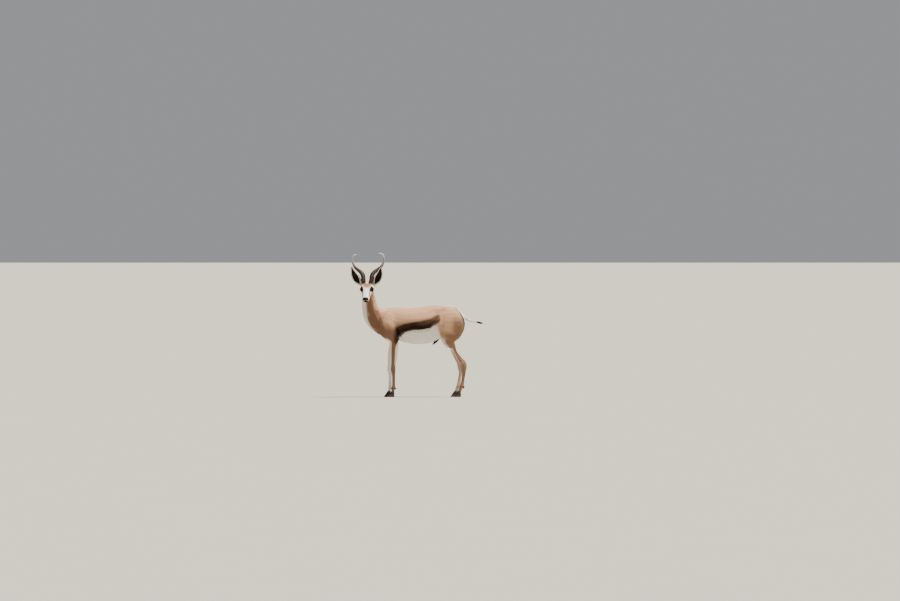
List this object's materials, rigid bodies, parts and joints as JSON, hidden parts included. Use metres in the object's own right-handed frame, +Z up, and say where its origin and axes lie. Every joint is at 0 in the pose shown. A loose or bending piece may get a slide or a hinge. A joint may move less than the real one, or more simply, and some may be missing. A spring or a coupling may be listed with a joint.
{
  "type": "springbok",
  "caption": "Life-size standing springbok ram with lyre-shaped ringed horns, upright ears and a tufted tail, its head turned to its left.",
  "frame": {"origin": "on the ground, under the middle of the box of the whole animal", "axes": "+Z up, the ram faces -X, its left side faces -Y"},
  "size_m": [1.1824, 0.3642, 1.2684],
  "materials": {
    "coat_tan": "short flat cinnamon hair",
    "coat_white": "short flat white hair",
    "ear": "thin hair outside, dark and almost bare inside",
    "hair_black": "long coarse black hair",
    "horn": "ringed, satin, worn smooth at the tips",
    "hoof": "satin, finely ridged",
    "eye": "wet gloss"
  },
  "bodies": {
    "root": {"foreleg_left_shoulder": "coat_tan", "foreleg_left_forearm": "coat_tan", "foreleg_left_cannon": "coat_tan", "foreleg_left_hoof": "hoof", "foreleg_right_shoulder": "coat_tan", "foreleg_right_forearm": "coat_tan", "foreleg_right_cannon": "coat_tan", "foreleg_right_hoof": "hoof", "hindleg_left_thigh": "coat_tan", "hindleg_left_gaskin": "coat_tan", "hindleg_left_cannon": "coat_tan", "hindleg_left_hoof": "hoof", "hindleg_right_thigh": "coat_tan", "hindleg_right_gaskin": "coat_tan", "hindleg_right_cannon": "coat_tan", "hindleg_right_hoof": "hoof", "head": "coat_white", "neck": "coat_tan", "torso": "coat_tan", "tail": "coat_white", "tail_tuft": "hair_black", "eye_left": "eye", "horn_left": "horn", "ear_left": "ear", "eye_right": "eye", "horn_right": "horn", "ear_right": "ear"}
  },
  "joints": []
}
